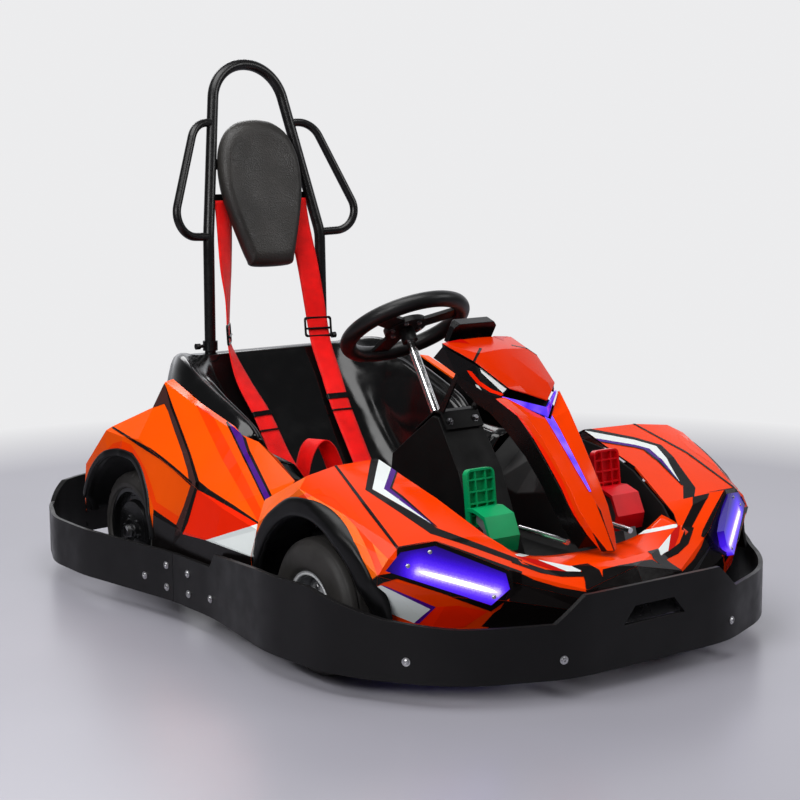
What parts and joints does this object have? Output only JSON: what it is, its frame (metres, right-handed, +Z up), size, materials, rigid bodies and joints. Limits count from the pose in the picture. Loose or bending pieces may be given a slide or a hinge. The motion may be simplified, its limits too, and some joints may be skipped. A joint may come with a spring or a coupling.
{
  "type": "electric go-kart",
  "caption": "Low single-seat electric kart with a wrap-round bumper band, faceted body, roll hoop with headrest, hub-motor rear wheels and steered front wheels.",
  "frame": {"origin": "on the floor under the middle of the kart's box", "axes": "+Z up, +X to the driver's left, the front of the kart towards -Y"},
  "size_m": [1.0712, 1.59, 1.1447],
  "materials": {
    "orange_body": "gloss orange film over moulded plastic",
    "black_moulded": "semi-gloss black moulded plastic",
    "bumper_plastic": "fine-grained black polyethylene",
    "black_steel": "black powder coat",
    "floor_sheet": "black painted sheet",
    "bright_steel": "zinc plated",
    "chrome": "polished chrome",
    "rim_metal": "bright pressed rim",
    "motor_black": "gloss black paint",
    "tyre_rubber": "matt black tyre rubber",
    "grip_rubber": "moulded soft black grip",
    "pad_foam": "integral-skin foam, fine grain",
    "green_plastic": "moulded green plastic",
    "red_plastic": "moulded red plastic",
    "grey_plastic": "moulded grey plastic",
    "webbing": "red woven webbing",
    "lamp_lens": "violet lit lens"
  },
  "bodies": {
    "root": {"arch_lips": "black_moulded", "battery_box": "black_moulded", "body_brackets": "black_steel", "brake_pedal": "red_plastic", "buckle": "black_moulded", "bumper_front": "bumper_plastic", "bumper_mounts": "black_steel", "bumper_rear": "bumper_plastic", "chassis_frame": "black_steel", "cockpit_tub": "black_moulded", "column_plate": "black_steel", "display_box": "black_moulded", "fairing_cheeks": "black_moulded", "fairing_hood": "orange_body", "fairing_lights": "lamp_lens", "fairing_spine": "black_moulded", "fairing_struts": "black_steel", "floor_pan": "floor_sheet", "front_cowl": "orange_body", "headlight_left": "lamp_lens", "headlight_right": "lamp_lens", "headrest_pad": "pad_foam", "hoop_clamps": "black_steel", "lap_belt": "webbing", "pedal_bases": "grey_plastic", "pedal_rods": "chrome", "rear_axle_stubs": "bright_steel", "roll_hoop": "black_steel", "seat_shell": "black_moulded", "shoulder_strap_left": "webbing", "shoulder_strap_right": "webbing", "side_pod_left": "orange_body", "side_pod_right": "orange_body", "steering_fairing": "orange_body", "strap_adjusters": "black_moulded", "throttle_pedal": "green_plastic"},
    "steering": {"steering_wheel": "grip_rubber", "steering_column": "chrome"},
    "knuckle_left": {"knuckle_left": "bright_steel"},
    "knuckle_right": {"knuckle_right": "bright_steel"},
    "tie_rod_left": {"tie_rod_left": "bright_steel"},
    "tie_rod_right": {"tie_rod_right": "bright_steel"},
    "front_wheel_left": {"tyre_front_left": "tyre_rubber", "rim_front_left": "rim_metal"},
    "front_wheel_right": {"tyre_front_right": "tyre_rubber", "rim_front_right": "rim_metal"},
    "rear_wheel_left": {"tyre_rear_left": "tyre_rubber", "hub_motor_left": "motor_black"},
    "rear_wheel_right": {"tyre_rear_right": "tyre_rubber", "hub_motor_right": "motor_black"}
  },
  "joints": [
    {"name": "steering_turn", "type": "hinge", "parent": "root", "child": "steering", "pos_m": [0, -0.047, 0.575], "axis": [0, 0.5335, 0.8458], "range_deg": [-55, 55]},
    {"name": "kingpin_left", "type": "hinge", "parent": "root", "child": "knuckle_left", "pos_m": [0.318, -0.397, 0.127], "axis": [0, 0, 1], "range_deg": [-22, 22]},
    {"name": "tie_rod_pivot_left", "type": "hinge", "parent": "knuckle_left", "child": "tie_rod_left", "pos_m": [0.316, -0.297, 0.106], "axis": [0, 0, 1], "range_deg": [-22, 22]},
    {"name": "front_wheel_spin_left", "type": "hinge", "parent": "knuckle_left", "child": "front_wheel_left", "pos_m": [0.428, -0.397, 0.127], "axis": [1, 0, 0], "continuous": true},
    {"name": "rear_wheel_spin_left", "type": "hinge", "parent": "root", "child": "rear_wheel_left", "pos_m": [0.396, 0.37, 0.127], "axis": [1, 0, 0], "continuous": true},
    {"name": "kingpin_right", "type": "hinge", "parent": "root", "child": "knuckle_right", "pos_m": [-0.318, -0.397, 0.127], "axis": [0, 0, 1], "range_deg": [-22, 22]},
    {"name": "tie_rod_pivot_right", "type": "hinge", "parent": "knuckle_right", "child": "tie_rod_right", "pos_m": [-0.316, -0.297, 0.106], "axis": [0, 0, 1], "range_deg": [-22, 22]},
    {"name": "front_wheel_spin_right", "type": "hinge", "parent": "knuckle_right", "child": "front_wheel_right", "pos_m": [-0.428, -0.397, 0.127], "axis": [1, 0, 0], "continuous": true},
    {"name": "rear_wheel_spin_right", "type": "hinge", "parent": "root", "child": "rear_wheel_right", "pos_m": [-0.396, 0.37, 0.127], "axis": [1, 0, 0], "continuous": true}
  ],
  "couplings": [
    {"joint": "kingpin_left", "follows": "steering_turn", "ratio": 0.4},
    {"joint": "tie_rod_pivot_left", "follows": "steering_turn", "ratio": -0.4},
    {"joint": "kingpin_right", "follows": "steering_turn", "ratio": 0.4},
    {"joint": "tie_rod_pivot_right", "follows": "steering_turn", "ratio": -0.4}
  ]
}
